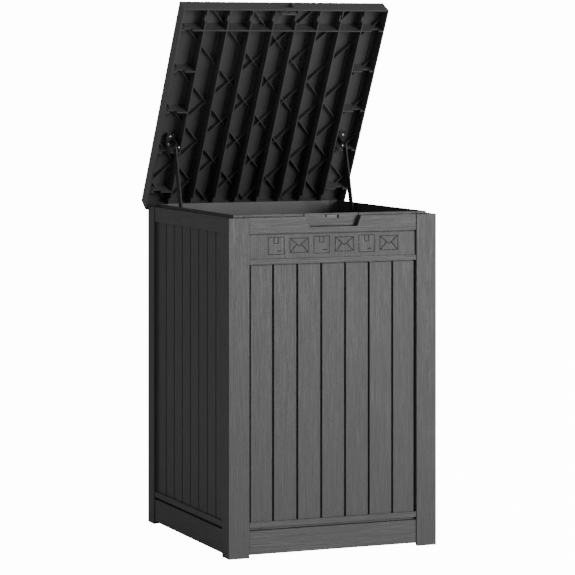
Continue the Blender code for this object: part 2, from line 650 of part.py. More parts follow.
for hand, side in (("left", -1), ("right", 1)):
    panel = bpy.data.objects[hand + "_panel"]
    low, high = sorted((side * track_inner, side * track_outer))
    track = prism("stay_track_" + hand,
                  stadium(on_slope(slot_near - TRACK_END), on_slope(slot_far + TRACK_END),
                          TRACK_HALF_HEIGHT), low, high, axis="X", collection=parts)
    cut(track, prism("slot", stadium(on_slope(slot_near), on_slope(slot_far), slot_radius),
                     low - TRACK_THICKNESS, high + TRACK_THICKNESS, axis="X"))
    place(track, root, NYLON)
    for end, distance in (("back", slot_near - TRACK_END), ("front", slot_far + TRACK_END)):
        y, z = on_slope(distance)
        head_face = (side * track_inner, y, z)
        hole = screw_hole(head_face, (side, 0, 0), TRACK_THICKNESS + SCREW_REACH + FIT_GAP)
        cut(track, hole)
        cut(panel, hole)
        screw("track_screw_%s_%s" % (hand, end), head_face, (side, 0, 0), TRACK_THICKNESS, root)

    # The arm lies along its own +Y from the pivot, and carries the slider pin.
    low, high = sorted((side * arm_inner, side * arm_outer))
    arm = prism("stay_arm_" + hand, stadium((0, 0), (STAY_LENGTH, 0), ARM_RADIUS), low, high,
                axis="X", collection=parts)
    slider_end = track_outer - ARM_GAP / 2
    slider = rod("slider_pin", (side * (arm_inner + slider_end) / 2, STAY_LENGTH, 0),
                 SLIDER_RADIUS, slider_end - arm_inner)
    eye = rod("arm_eye", (side * (arm_inner + arm_outer) / 2, 0, 0), PIVOT_RADIUS + FIT_GAP,
              2 * ARM_THICKNESS)
    for tool in (slider, eye):
        tool.parent = arm
    join(arm, slider)
    cut(arm, eye)
    place(arm, root, NYLON)
    arm.location = pivot_open
    arm.rotation_euler.x = arm_angle

    # The bracket hangs from two bosses under the lid and holds the arm's pivot pin.
    low, high = sorted((side * bracket_inner, side * bracket_outer))
    drop = [(pivot_shut.y - BRACKET_BOSS_RADIUS, foot_top),
            (pivot_shut.y - BRACKET_BOSS_RADIUS, pivot_shut.z),
            (pivot_shut.y - BRACKET_BOSS_RADIUS / 2, pivot_shut.z - BRACKET_BOSS_RADIUS),
            (pivot_shut.y + BRACKET_BOSS_RADIUS / 2, pivot_shut.z - BRACKET_BOSS_RADIUS),
            (pivot_shut.y + BRACKET_BOSS_RADIUS, pivot_shut.z),
            (pivot_shut.y + BRACKET_BOSS_RADIUS, foot_top)]
    bracket = in_lid(prism("stay_bracket_" + hand, drop, low, high, axis="X",
                           collection=parts))
    edges = sorted((side * bracket_outer, side * (bracket_outer + foot_across)))
    foot = in_lid(box("bracket_foot", (min(low, edges[0]), pivot_shut.y - foot_along / 2, foot_low),
                      (max(high, edges[1]), pivot_shut.y + foot_along / 2, foot_top)))
    eye = in_lid(rod("bracket_eye", (side * bracket_outer, pivot_shut.y, pivot_shut.z),
                     PIVOT_RADIUS + FIT_GAP, 4 * BRACKET_THICKNESS))
    join(bracket, foot)
    cut(bracket, eye)
    boss_x = side * (bracket_outer + foot_across / 2)
    for end, offset in (("front", -boss_offset), ("back", boss_offset)):
        y = pivot_shut.y + offset
        boss = in_lid(rod("bracket_boss", (boss_x, y, (foot_top + FIT_GAP + LID_TOP) / 2
                                           - LID_WALL / 4),
                          BRACKET_BOSS_RADIUS - 0.001,
                          LID_TOP - foot_top - FIT_GAP - LID_WALL / 2))
        boss.parent = lid_axis
        join(lid, boss)
        hole = screw_hole((boss_x, y, foot_low), (0, 0, 1), BRACKET_THICKNESS + SCREW_REACH + FIT_GAP,
                          shaped_shut=True)
        cut(lid, hole)
        cut(bracket, hole)
        screw("bracket_screw_%s_%s" % (hand, end), (boss_x, y, foot_low), (0, 0, 1),
              BRACKET_THICKNESS, lid_axis, shaped_shut=True)
    place(bracket, lid_axis, NYLON)

    pivot_end = arm_outer + ARM_GAP / 2
    pivot = in_lid(rod("stay_pivot_" + hand,
                       (side * (bracket_inner - FIT_GAP - PIVOT_HEAD_HEIGHT / 2),
                        pivot_shut.y, pivot_shut.z),
                       PIVOT_HEAD_RADIUS, PIVOT_HEAD_HEIGHT, collection=parts))
    shaft_start = bracket_inner - FIT_GAP - PIVOT_HEAD_HEIGHT
    shaft = in_lid(rod("pivot_shaft", (side * (shaft_start + pivot_end) / 2, pivot_shut.y,
                                       pivot_shut.z),
                       PIVOT_RADIUS, pivot_end - shaft_start))
    shaft.parent = lid_axis
    join(pivot, shaft)
    place(pivot, lid_axis, STEEL)

# ------------------------------------------------------------------ lock tab
tab_height = TAB_BELOW_RIM + PULL_BOTTOM - TAB_BELOW_PULL
tab_face = LID_FRONT + LID_WALL + LID_DRAFT + FIT_GAP
tab_low = LID_RIM - TAB_BELOW_RIM
lock_tab = in_lid(box("lock_tab", (-TAB_WIDTH / 2, tab_face, tab_low),
                      (TAB_WIDTH / 2, tab_face + TAB_THICKNESS, tab_low + tab_height), parts))
window_middle = (window_low + window_high) / 2
tab_hole = in_lid(rod("tab_hole", (0, tab_face, window_middle), TAB_HOLE_RADIUS,
                      4 * TAB_THICKNESS, axis="Y"))
tab_hole.parent = lid_axis
cut(lock_tab, tab_hole)
for hand, side in (("left", -1), ("right", 1)):
    head_face = (side * TAB_SCREW_OFFSET, tab_face + TAB_THICKNESS, LID_RIM + PULL_BOTTOM / 2)
    hole = screw_hole(head_face, (0, -1, 0), TAB_THICKNESS + LID_WALL / 2, shaped_shut=True)
    cut(lock_tab, hole)
    cut(lid, hole)
    screw("tab_screw_" + hand, head_face, (0, -1, 0), TAB_THICKNESS, lid_axis, shaped_shut=True,
          reach=LID_WALL / 3)
place(lock_tab, lid_axis, RESIN)

# Cutters follow the piece they shape, so that the lid's move with the lid.
for piece in parts.objects:
    for modifier in getattr(piece, "modifiers", ()):
        if modifier.type == "BOOLEAN" and modifier.object.parent is None:
            tool = modifier.object
            tool.parent = piece.parent
            if piece.location.length or piece.rotation_euler.z:
                tool.location = piece.location
                tool.rotation_euler = piece.rotation_euler
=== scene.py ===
import json
from math import atan, pi, radians

import bmesh
import bpy
from mathutils import Matrix, Vector


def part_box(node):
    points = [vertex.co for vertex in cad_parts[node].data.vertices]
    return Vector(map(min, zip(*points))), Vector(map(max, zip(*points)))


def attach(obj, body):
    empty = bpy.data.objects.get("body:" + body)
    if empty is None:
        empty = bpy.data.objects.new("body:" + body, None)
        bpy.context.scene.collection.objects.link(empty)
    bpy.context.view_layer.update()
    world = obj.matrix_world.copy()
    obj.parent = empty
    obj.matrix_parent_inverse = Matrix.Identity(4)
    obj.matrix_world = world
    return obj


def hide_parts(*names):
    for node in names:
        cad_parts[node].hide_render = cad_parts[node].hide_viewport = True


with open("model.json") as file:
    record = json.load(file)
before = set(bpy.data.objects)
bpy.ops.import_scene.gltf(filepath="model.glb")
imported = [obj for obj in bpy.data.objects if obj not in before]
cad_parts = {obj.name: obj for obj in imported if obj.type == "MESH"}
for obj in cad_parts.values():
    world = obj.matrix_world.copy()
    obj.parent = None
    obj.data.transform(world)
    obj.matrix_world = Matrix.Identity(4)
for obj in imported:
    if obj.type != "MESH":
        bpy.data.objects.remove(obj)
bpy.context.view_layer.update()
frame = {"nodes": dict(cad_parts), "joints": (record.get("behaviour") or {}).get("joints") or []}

# ---------------------------------------------------------------- camera, floor and studio light
# A long lens stands level to the front left of the box and a little above its open lid. One broad
# soft light comes from the front right, so that the left side falls into shade, as it does
# beside a window. The floor and the room are white.
box_low = Vector(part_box("post_front_left")[0])
box_high = Vector(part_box("post_back_right")[1])
width = box_high.x - box_low.x
CAMERA_PLACE = (-4.2234, -11.0133, 2.1829)      # in box widths, from the front left foot
CAMERA_TURN = -22.225
KEY_PLACE = (2.3, -4.9, 1.25)
KEY_POWER = 262
FILL_PLACE = (-3.2, -2.2, 1.2)
FILL_POWER = 6
ROOM_SEEN = 14                  # how bright the floor and the room look to the camera
ROOM_LIGHT = 0.27               # and how much the room lights the box


def add_object(name, data):
    """A new object in the scene."""
    made = bpy.data.objects.new(name, data)
    bpy.context.scene.collection.objects.link(made)
    return made


camera_data = bpy.data.cameras.new("camera")
camera_data.sensor_width = 36
camera_data.lens = 169.28
camera_data.shift_y = -0.39607
camera = add_object("camera", camera_data)
camera.location = box_low + width * Vector(CAMERA_PLACE)
camera.rotation_euler = (radians(90), 0, radians(CAMERA_TURN))
bpy.context.scene.camera = camera


def soft_light(name, place, size, power):
    """A square light that faces the box's middle."""
    lamp = bpy.data.lights.new(name, "AREA")
    lamp.shape = "RECTANGLE"
    lamp.size = size
    lamp.size_y = size
    lamp.energy = power
    light = add_object(name, lamp)
    light.location = place
    aim = Vector((0, 0, 0.55)) - light.location
    light.rotation_euler = aim.to_track_quat("-Z", "Y").to_euler()


soft_light("key_light", KEY_PLACE, 2.4, KEY_POWER)
soft_light("fill_light", FILL_PLACE, 2.0, FILL_POWER)

room = bpy.data.worlds.new("white_room")
room.use_nodes = True
bpy.context.scene.world = room
room_nodes = room.node_tree.nodes
room_links = room.node_tree.links
ray = room_nodes.new("ShaderNodeLightPath")
room_mix = room_nodes.new("ShaderNodeMixShader")
dim_room = room_nodes["Background"]
bright_room = room_nodes.new("ShaderNodeBackground")
for background, strength in ((dim_room, ROOM_LIGHT), (bright_room, ROOM_SEEN)):
    background.inputs["Color"].default_value = (1, 1, 1, 1)
    background.inputs["Strength"].default_value = strength
room_links.new(ray.outputs["Is Camera Ray"], room_mix.inputs[0])
room_links.new(dim_room.outputs[0], room_mix.inputs[1])
room_links.new(bright_room.outputs[0], room_mix.inputs[2])
room_links.new(room_mix.outputs[0], room_nodes["World Output"].inputs["Surface"])


class Socket:
    """A shader socket; Python arithmetic on it adds Math nodes."""

    def __init__(self, tree, socket=None):
        self.tree = tree
        self.socket = socket

    def node(self, kind, settings=None, sockets=None, output=0):
        """Add a node: its settings first, then the values or links of its sockets."""
        made = self.tree.nodes.new(kind)
        for name, value in (settings or {}).items():
            if name == "stops":
                for element, (position, shade) in zip(made.color_ramp.elements, value):
                    element.position = position
                    element.color = (shade, shade, shade, 1)
            else:
                setattr(made, name, value)
        for name, value in (sockets or {}).items():
            if isinstance(value, Socket):
                self.tree.links.new(value.socket, made.inputs[name])
            else:
                made.inputs[name].default_value = value
        return Socket(self.tree, made.outputs[output])

    def _maths(self, operation, *values):
        return self.node("ShaderNodeMath", {"operation": operation}, dict(enumerate(values)))

    def __add__(self, other):
        return self._maths("ADD", self, other)

    def __sub__(self, other):
        return self._maths("SUBTRACT", self, other)

    def __mul__(self, other):
        return self._maths("MULTIPLY", self, other)

    def __rsub__(self, other):
        return self._maths("SUBTRACT", other, self)

    __radd__ = __add__
    __rmul__ = __mul__


def new_material(name, roughness=0.5, metallic=0.0):
    """A Principled material with its shader and a Socket to build expressions from."""
    material = bpy.data.materials.new(name)
    material.use_nodes = True
    shader = material.node_tree.nodes["Principled BSDF"]
    shader.inputs["Roughness"].default_value = roughness
    shader.inputs["Metallic"].default_value = metallic
    return material, shader, Socket(material.node_tree)


def feed(shader, **values):
    """Link expressions to the shader's sockets; an underscore stands for a space."""
    for name, value in values.items():
        value.tree.links.new(value.socket, shader.inputs[name.replace("_", " ")])


bpy.ops.mesh.primitive_plane_add(size=14, location=(0, 2.5, 0))
floor = bpy.context.object
floor.name = "studio_floor"
floor_material, floor_shader, maths = new_material("white_floor", roughness=0.85)
floor_shader.inputs["Base Color"].default_value = (0.86, 0.86, 0.87, 1)
floor_shader.inputs["Emission Color"].default_value = (1, 1, 1, 1)
camera_ray = maths.node("ShaderNodeLightPath")
feed(floor_shader, Emission_Strength=camera_ray * ROOM_SEEN)
floor.data.materials.append(floor_material)

# ---------------------------------------------------------------- corner posts
# Four L-section posts of dark grey resin run from the floor to the lid and are the box's feet.
# Their faces are embossed with upright wood grain, and their edges are rounded by the mould.
BODY_COLOUR = (0.052, 0.052, 0.053)
GRAIN_ACROSS = 620              # grain streaks per metre
GRAIN_ALONG = 22
GRAIN_DEPTH = 0.0007
POST_ROUNDING = 0.0009
SHARP_EDGE = 30                 # degrees; sharper edges are rounded


def wood_embossed(name, along, colour=BODY_COLOUR, roughness=0.50, strength=0.55):
    """Resin with wood grain pressed into it; along is the axis that the grain follows."""
    material, shader, maths = new_material(name)
    place = maths.node("ShaderNodeTexCoord", output="Object")
    across = [GRAIN_ACROSS] * 3
    across["XYZ".index(along)] = GRAIN_ALONG
    stretched = maths.node("ShaderNodeMapping", sockets={"Vector": place, "Scale": across})
    streaks = maths.node("ShaderNodeTexNoise", sockets={
        "Vector": stretched, "Scale": 0.6, "Detail": 5.0, "Roughness": 0.62, "Distortion": 0.9})
    fine = maths.node("ShaderNodeTexNoise", sockets={
        "Vector": stretched, "Scale": 2.3, "Detail": 3.0, "Roughness": 0.55})
    pores = maths.node("ShaderNodeTexNoise", sockets={
        "Vector": place, "Scale": 900.0, "Detail": 2.0})
    clouds = maths.node("ShaderNodeTexNoise", sockets={
        "Vector": place, "Scale": 7.0, "Detail": 3.0})
    ridges = maths.node("ShaderNodeValToRGB", {"stops": ((0.36, 0.0), (0.66, 1.0))},
                        {"Fac": streaks})
    height = ridges * 0.6 + fine * 0.3 + pores * 0.1
    bump = maths.node("ShaderNodeBump", sockets={
        "Strength": strength, "Distance": GRAIN_DEPTH, "Height": height})
    tone = height * 0.55 + clouds * 0.20
    dark = (*(0.84 * channel for channel in colour), 1)
    light = (*(1.14 * channel for channel in colour), 1)
    shade = maths.node("ShaderNodeMix", {"data_type": "RGBA"},
                       {0: tone * 1.35, 6: dark, 7: light}, output=2)
    feed(shader, Base_Color=shade, Normal=bump,
         Roughness=roughness + (0.5 - height) * 0.22 + (clouds - 0.5) * 0.10)
    return material


def moulded(name, colour, roughness=0.48, strength=0.25):
    """Smooth moulded resin: a fine orange peel, faint flow marks and dust in its colour."""
    material, shader, maths = new_material(name)
    place = maths.node("ShaderNodeTexCoord", output="Object")
    peel = maths.node("ShaderNodeTexNoise", sockets={
        "Vector": place, "Scale": 620.0, "Detail": 2.0})
    flow = maths.node("ShaderNodeTexNoise", sockets={
        "Vector": place, "Scale": 9.0, "Detail": 4.0, "Distortion": 0.8})
    bump = maths.node("ShaderNodeBump", sockets={
        "Strength": strength, "Distance": 0.0003, "Height": peel})
    dark = (*(0.82 * channel for channel in colour), 1)
    light = (*(1.20 * channel for channel in colour), 1)
    shade = maths.node("ShaderNodeMix", {"data_type": "RGBA"},
                       {0: flow * 0.8 + peel * 0.2, 6: dark, 7: light}, output=2)
    feed(shader, Base_Color=shade, Normal=bump,
         Roughness=roughness + (flow - 0.5) * 0.16 + (peel - 0.5) * 0.10)
    return material


upright_grain = wood_embossed("resin_upright_grain", "Z")
level_grain = wood_embossed("resin_level_grain", "X")
level_side_grain = wood_embossed("resin_level_side_grain", "Y")
smooth_resin = moulded("resin_smooth_wall", BODY_COLOUR)


def merged_copy(node):
    """A CAD piece's own mesh, with its loose triangles merged back into whole faces."""
    mesh = frame["nodes"][node].data.copy()
    bm = bmesh.new()
    bm.from_mesh(mesh)
    bmesh.ops.remove_doubles(bm, verts=bm.verts, dist=0.00002)
    bmesh.ops.dissolve_limit(bm, angle_limit=radians(0.5), verts=bm.verts, edges=bm.edges)
    bm.to_mesh(mesh)
    bm.free()
    mesh.materials.clear()
    return mesh


def plain_mesh(piece):
    """A piece's mesh with its modifiers applied."""
    bpy.context.view_layer.update()
    graph = bpy.context.evaluated_depsgraph_get()
    return bpy.data.meshes.new_from_object(piece.evaluated_get(graph))


def softened(name, mesh, rounding, segments=3):
    """A piece whose corners are rounded as a mould leaves them, as a plain mesh."""
    piece = add_object(name, mesh)
    mesh.shade_smooth()
    bevel = piece.modifiers.new("rounding", "BEVEL")
    bevel.width = rounding
    bevel.segments = segments
    bevel.limit_method = "ANGLE"
    bevel.angle_limit = radians(SHARP_EDGE)
    bevel.use_clamp_overlap = True
    flat = piece.modifiers.new("flat_faces", "WEIGHTED_NORMAL")
    flat.weight = 100
    finished = plain_mesh(piece)
    piece.modifiers.clear()
    piece.data = finished
    return piece


def choose_materials(mesh, materials, rule):
    """Give each face the material whose number the rule returns for its middle and normal."""
    for material in materials:
        mesh.materials.append(material)
    for face in mesh.polygons:
        face.material_index = rule(face.center, face.normal)


def carry(piece, body, slot, *nodes):
    """Let a finished piece stand for its CAD nodes on their body."""
    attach(piece, body)
    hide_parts(*nodes)


for corner in ("front_left", "front_right", "back_left", "back_right"):
    mesh = merged_copy("post_" + corner)
    mesh.materials.append(upright_grain)
    post = softened(corner + "_corner_post", mesh, POST_ROUNDING)
    carry(post, "box", "body_resin", "post_" + corner)

# ---------------------------------------------------------------- base tray
# One moulded tray is the box's floor and the four skirt boards between the feet. The skirts are
# embossed with level grain and stop a few millimetres above the ground.
DECK_HALF_WIDTH = 0.20
DECK_HALF_DEPTH = 0.15
SMALL_ROUNDING = 0.0006
mesh = merged_copy("base_tray")


def skirt_face(centre, normal):
    """Front and back skirts, side skirts, and the smooth deck and underside."""
    if abs(normal.z) > 0.5 or (abs(centre.y) < DECK_HALF_DEPTH
                                and abs(centre.x) < DECK_HALF_WIDTH):
        return 2
    return 0 if abs(normal.y) > 0.5 else 1


choose_materials(mesh, (level_grain, level_side_grain, smooth_resin), skirt_face)
tray = softened("base_tray_with_skirts", mesh, POST_ROUNDING)
carry(tray, "box", "body_resin", "base_tray")

# ---------------------------------------------------------------- wall panels
# Each wall is one resin moulding that slides down behind the post edges. It looks like a row of
# upright boards between level rails, and its inner face is smooth and rises past the rails as the
# low lip that the lid closes over. The front wall has the finger recess, the lock window and a
# plaque; the back wall carries the fixed hinge knuckles.
BOARD_ROUNDING = 0.0004
SIDE_RAIL_BELOW_LEDGE = 0.030
FRONT_BAND_BELOW_LEDGE = 0.0905  # top rail, plaque and the thin rail under it
LOWER_RAIL_TOP = 0.0686
POST_TOP_ABOVE_LEDGE = 0.005
ledge = box_high.z - POST_TOP_ABOVE_LEDGE


def panel_rule(outward, band):
    """Boards get upright grain, rails level grain, and what faces the parcels stays smooth."""
    def rule(centre, normal):
        if normal.dot(outward) < -0.5 or abs(normal.z) > 0.5:
            return 2
        return 0 if LOWER_RAIL_TOP < centre.z < ledge - band else 1
    return rule


for name, outward, band, grain in (
        ("front", Vector((0, -1, 0)), FRONT_BAND_BELOW_LEDGE, level_grain),
        ("back", Vector((0, 1, 0)), SIDE_RAIL_BELOW_LEDGE, level_grain),
        ("left", Vector((-1, 0, 0)), SIDE_RAIL_BELOW_LEDGE, level_side_grain),
        ("right", Vector((1, 0, 0)), SIDE_RAIL_BELOW_LEDGE, level_side_grain)):
    mesh = merged_copy(name + "_panel")
    choose_materials(mesh, (upright_grain, grain, smooth_resin), panel_rule(outward, band))
    wall = softened(name + "_wall", mesh, BOARD_ROUNDING)
    carry(wall, "box", "body_resin", name + "_panel")

# ---------------------------------------------------------------- plaque relief
# The plaque under the top rail carries a row of plain raised signs, parcels and letters in turn,
# moulded with the wall as rounded strokes about two millimetres wide. The strokes are coloured
# near black: painted shade standing for the shadowed outlines of the signs.
STROKE = 0.0010
RELIEF_SQUASH = 0.80
SIGN_HEIGHT = 0.033
SIGN_PITCH = 0.0478
PLAQUE_MIDDLE_BELOW_LEDGE = 0.0555
PLAQUE_BEHIND_FRONT = 0.0035
SIGN_COUNT = 6


def parcel_sign(x, z):
    """A tall carton with its tape and a label."""
    w, h = SIGN_HEIGHT * 0.50, SIGN_HEIGHT * 0.50
    return [([(x - w, z - h), (x + w, z - h), (x + w, z + h), (x - w, z + h)], True),
            ([(x - w * 0.26, z + h), (x - w * 0.26, z + h * 0.28), (x + w * 0.26, z + h * 0.28),
              (x + w * 0.26, z + h)], False),
            ([(x + w * 0.15, z - h * 0.60), (x + w * 0.66, z - h * 0.60)], False)]


def letter_sign(x, z):
    """A closed envelope."""
    w, h = SIGN_HEIGHT * 0.58, SIGN_HEIGHT * 0.42
    return [([(x - w, z - h), (x + w, z - h), (x + w, z + h), (x - w, z + h)], True),
            ([(x - w, z + h), (x, z - h * 0.12), (x + w, z + h)], False),
            ([(x - w, z - h), (x - w * 0.30, z + h * 0.08)], False),
            ([(x + w, z - h), (x + w * 0.30, z + h * 0.08)], False)]


def open_tree(name, *inputs):
    """A Geometry Nodes tree with these named inputs, then a Finish."""
    tree = bpy.data.node_groups.new(name, "GeometryNodeTree")
    for label, kind in (*inputs, ("Finish", "Material")):
        tree.interface.new_socket(label, in_out="INPUT", socket_type="NodeSocket" + kind)
    return tree, tree.nodes, tree.links, tree.nodes.new("NodeGroupInput")


def close_tree(tree, result, given, shape):
    """Make the shape real, paint it with the Finish and give it out under the result's name."""
    tree.interface.new_socket(result, in_out="OUTPUT", socket_type="NodeSocketGeometry")
    made = tree.nodes.new("NodeGroupOutput")
    realize = tree.nodes.new("GeometryNodeRealizeInstances")
    paint = tree.nodes.new("GeometryNodeSetMaterial")
    tree.links.new(shape, realize.inputs["Geometry"])
    tree.links.new(realize.outputs["Geometry"], paint.inputs["Geometry"])
    tree.links.new(given.outputs["Finish"], paint.inputs["Material"])
    tree.links.new(paint.outputs["Geometry"], made.inputs[result])
    return tree


def stroke_tree():
    """Geometry Nodes that sweep a round bar along every stroke."""
    tree, nodes, links, given = open_tree("moulded_strokes", ("Strokes", "Geometry"),
                                          ("Stroke Radius", "Float"))
    profile = nodes.new("GeometryNodeCurvePrimitiveCircle")
    profile.inputs["Resolution"].default_value = 12
    sweep = nodes.new("GeometryNodeCurveToMesh")
    sweep.inputs["Fill Caps"].default_value = True
    links.new(given.outputs["Stroke Radius"], profile.inputs["Radius"])
    links.new(given.outputs["Strokes"], sweep.inputs["Curve"])
    links.new(profile.outputs["Curve"], sweep.inputs["Profile Curve"])
    return close_tree(tree, "Relief", given, sweep.outputs["Mesh"])


def grow(piece, tree, **values):
    """Run a piece's node tree with these named inputs and keep the result as a plain mesh."""
    modifier = piece.modifiers.new(tree.name, "NODES")
    modifier.node_group = tree
    sockets = {item.name: item.identifier for item in tree.interface.items_tree
               if item.in_out == "INPUT"}
    for name, value in values.items():
        modifier[sockets[name.replace("_", " ")]] = value
    mesh = plain_mesh(piece)
    name = piece.name
    bpy.data.objects.remove(piece)
    return add_object(name, mesh)


plaque_z = ledge - PLAQUE_MIDDLE_BELOW_LEDGE
strokes = bpy.data.curves.new("plaque_relief", "CURVE")
strokes.dimensions = "3D"
for sign in range(SIGN_COUNT):
    x = SIGN_PITCH * (sign - (SIGN_COUNT - 1) / 2)
    for points, closed in (letter_sign if sign % 2 else parcel_sign)(x, plaque_z):
        spline = strokes.splines.new("POLY")
        spline.points.add(len(points) - 1)
        for point, (across, up) in zip(spline.points, points):
            point.co = (across, 0, up, 1)
        spline.use_cyclic_u = closed
relief = add_object("plaque_relief", strokes)
# Near-black colour: painted shade for the shadowed outlines of the signs, not the resin's own
# colour.
relief_painted_shade = moulded("resin_relief_strokes", (0.013, 0.013, 0.013), roughness=0.6)
relief = grow(relief, stroke_tree(), Stroke_Radius=STROKE, Finish=relief_painted_shade)
plaque_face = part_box("front_panel")[0].y + PLAQUE_BEHIND_FRONT
relief.data.transform(Matrix.Translation((0, plaque_face, 0))
                      @ Matrix.Diagonal((1, RELIEF_SQUASH, 1, 1)))
relief.data.shade_smooth()
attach(relief, "box")

# ---------------------------------------------------------------- lock keeper
# A small resin keeper is fixed behind the lip, and its bar fills the middle of the lock window.
# A padlock's shackle goes through the lid's tab and round this bar.
lock_resin = moulded("resin_lock_parts", (0.060, 0.060, 0.061), roughness=0.42)
mesh = merged_copy("lock_keeper")
mesh.materials.append(lock_resin)
carry(softened("lock_keeper_bar", mesh, SMALL_ROUNDING), "box", "lock_resin", "lock_keeper")

# ---------------------------------------------------------------- lid
# The lid is one shallow resin moulding, ribbed underneath. Long ribs divide it into nine cells,
# with notches where they pass over the box's lip. Its top looks like nine boards with grooves
# between them. It is modelled shut, and turned open about the hinge pins.
LID_COLOUR = (0.056, 0.056, 0.057)
GROOVES_WITHIN = 0.004          # of the lid's top
joints = {joint["name"]: joint for joint in frame["joints"]}
hinge = Vector(joints["lid_hinge"]["pos_m"])
open_angle = radians(joints["lid_hinge"]["range_deg"][1])
opened = (Matrix.Translation(hinge) @ Matrix.Rotation(-open_angle, 4, "X")
          @ Matrix.Translation(-hinge))
shut = opened.inverted()

lid_resin = moulded("resin_lid_moulding", LID_COLOUR, roughness=0.44, strength=0.30)
lid_boards = wood_embossed("resin_lid_board_grain", "Y", LID_COLOUR, roughness=0.46)
mesh = merged_copy("lid")
mesh.transform(shut)


def extent(mesh):
    """The low and high corners of a mesh."""
    columns = list(zip(*(vertex.co for vertex in mesh.vertices)))
    return Vector([min(column) for column in columns]), Vector([max(column) for column in columns])


lid_low, lid_high = extent(mesh)


def lid_rule(centre, normal):
    """Wood grain on top, and smooth resin on the skirts and underneath."""
    return 1 if normal.z > 0.5 and centre.z > lid_high.z - GROOVES_WITHIN else 0


choose_materials(mesh, (lid_resin, lid_boards), lid_rule)
mesh.transform(opened)
carry(softened("ribbed_lid", mesh, SMALL_ROUNDING, segments=2), "lid", "lid_resin", "lid")

# ---------------------------------------------------------------- lattice ribs
# Low slanting ribs stiffen the lid's ceiling between the long ribs. They run from cell to cell
# both ways, mirrored about the middle, and draw diamonds two cells wide. A low ridge runs along
# the left of each long rib.
CELLS = 9
LID_WALL = 0.003
LATTICE_HEIGHT = 0.0105
LATTICE_THICKNESS = 0.0022
LATTICE_FALL = 1.10             # cells down the lid in each cell across
LATTICE_PITCH = 1.93            # cells between two ribs of one column
LATTICE_START = 0.73            # where the first rib leaves the first cell, from the cross rib
LATTICE_BEFORE_FIRST = 2        # ribs that start at the front skirt
LATTICE_ROWS = 7
RIB_ROUNDING = 0.0004
CROSS_RIB_FROM_FRONT = 0.050
RIDGE_HEIGHT = 0.0040
RIDGE_FROM_RIB = 0.0085
RIDGE_THICKNESS = 0.0014
RIDGE_SHORT_OF_CROSS_RIB = 0.003
RIDGE_SHORT_OF_BACK = 0.001
SUNK = 0.0004                   # how far ribs reach into the ceiling
BRACKET_CLEARANCE = 0.002
BRACKET_TESTS = 20              # places along a rib that are tested against the brackets
cell = (lid_high.x - lid_low.x - 2 * LID_WALL) / CELLS


def lattice_tree():
    """Geometry Nodes that lay one bar for each column and row, each column further down."""
    tree, nodes, links, given = open_tree(
        "lattice_ribs", ("Bar", "Geometry"), ("Columns", "Int"), ("Rows", "Int"),
        ("Column Pitch", "Float"), ("Row Pitch", "Float"), ("Fall", "Float"), ("Start", "Float"))

    def maths(operation, first, second=0.0):
        node = nodes.new("ShaderNodeMath")
        node.operation = operation
        for socket, value in zip(node.inputs, (first, second)):
            if isinstance(value, (int, float)):
                socket.default_value = value
            else:
                links.new(value, socket)
        return node.outputs[0]

    index = nodes.new("GeometryNodeInputIndex").outputs[0]
    line = nodes.new("GeometryNodeMeshLine")
    columns = given.outputs["Columns"]
    links.new(maths("MULTIPLY", columns, given.outputs["Rows"]), line.inputs["Count"])
    column = maths("MODULO", index, columns)
    row = maths("FLOOR", maths("DIVIDE", maths("ADD", index, 0.01), columns))
    fallen = maths("MULTIPLY", column, given.outputs["Fall"])
    started = maths("ADD", fallen, given.outputs["Start"])
    down = maths("ADD", started, maths("MULTIPLY", row, given.outputs["Row Pitch"]))
    spot = nodes.new("ShaderNodeCombineXYZ")
    links.new(maths("MULTIPLY", column, given.outputs["Column Pitch"]), spot.inputs["X"])
    links.new(down, spot.inputs["Y"])
    put = nodes.new("GeometryNodeSetPosition")
    links.new(line.outputs["Mesh"], put.inputs["Geometry"])
    links.new(spot.outputs[0], put.inputs["Position"])
    bars = nodes.new("GeometryNodeInstanceOnPoints")
    links.new(put.outputs["Geometry"], bars.inputs["Points"])
    links.new(given.outputs["Bar"], bars.inputs["Instance"])
    return close_tree(tree, "Ribs", given, bars.outputs["Instances"])


def rib_bar(name, size, turn):
    """One rib as a bar with rounded lower edges, turned about the lid's upright axis."""
    bm = bmesh.new()
    bmesh.ops.create_cube(bm, size=1, matrix=Matrix.Diagonal((*size, 1)))
    lower = [edge for edge in bm.edges if all(vertex.co.z < 0 for vertex in edge.verts)
             and edge.calc_length() > size[1] * 1.5]
    bmesh.ops.bevel(bm, geom=lower, offset=RIB_ROUNDING, segments=2, affect="EDGES")
    bm.transform(Matrix.Rotation(turn, 4, "Z"))
    mesh = bpy.data.meshes.new(name)
    bm.to_mesh(mesh)
    bm.free()
    return add_object(name, mesh)


stay_places = []                # low and high corners of the stay brackets, lid shut
for hand in ("left", "right"):
    foot = merged_copy("stay_bracket_" + hand)
    foot.transform(shut)
    low, high = extent(foot)
    clear = Vector((BRACKET_CLEARANCE,) * 3)
    stay_places.append((low - clear, high + clear))
    bpy.data.meshes.remove(foot)


